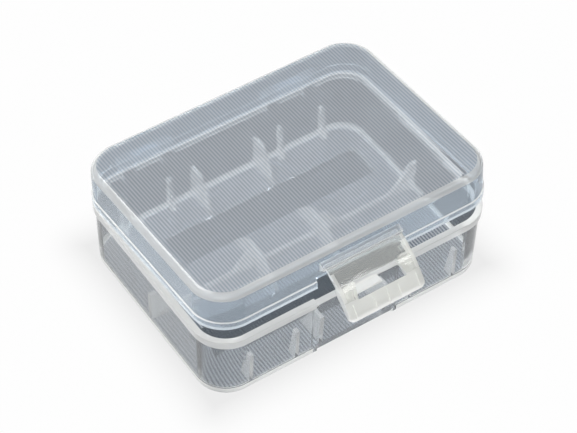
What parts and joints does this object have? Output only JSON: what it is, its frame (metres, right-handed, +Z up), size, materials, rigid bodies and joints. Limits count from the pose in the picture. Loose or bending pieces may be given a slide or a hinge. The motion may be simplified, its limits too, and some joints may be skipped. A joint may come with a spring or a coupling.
{
  "type": "hinged cell storage case",
  "caption": "Clear rounded plastic case with a hinged lid, a front snap latch and ribbed cradles inside for round battery cells.",
  "frame": {"origin": "centre of the tray's footprint, on the face it stands on", "axes": "+X along the long latch side, left to right as seen from the latch; +Y from the latch side to the hinge side; +Z up"},
  "size_m": [0.077, 0.0716, 0.0338],
  "materials": {
    "tray_plastic": "clear moulded plastic, finely lined floor",
    "lid_plastic": "clear moulded plastic, finely lined top",
    "latch_plastic": "clear moulded plastic, thick grip",
    "pin_plastic": "clear moulded plastic"
  },
  "bodies": {
    "tray": {"base_tray": "tray_plastic", "hinge_pin_left": "pin_plastic", "hinge_pin_right": "pin_plastic"},
    "lid": {"lid": "lid_plastic"},
    "latch": {"latch_flap": "latch_plastic"}
  },
  "joints": [
    {"name": "lid_hinge", "type": "hinge", "parent": "tray", "child": "lid", "pos_m": [0, 0.0306, 0.0193], "axis": [-1, 0, 0], "range_deg": [-4.38, 175.6]},
    {"name": "latch_hinge", "type": "hinge", "parent": "lid", "child": "latch", "pos_m": [0, -0.02982, 0.02987], "axis": [-1, 0, 0], "range_deg": [-45.5, 70]}
  ]
}
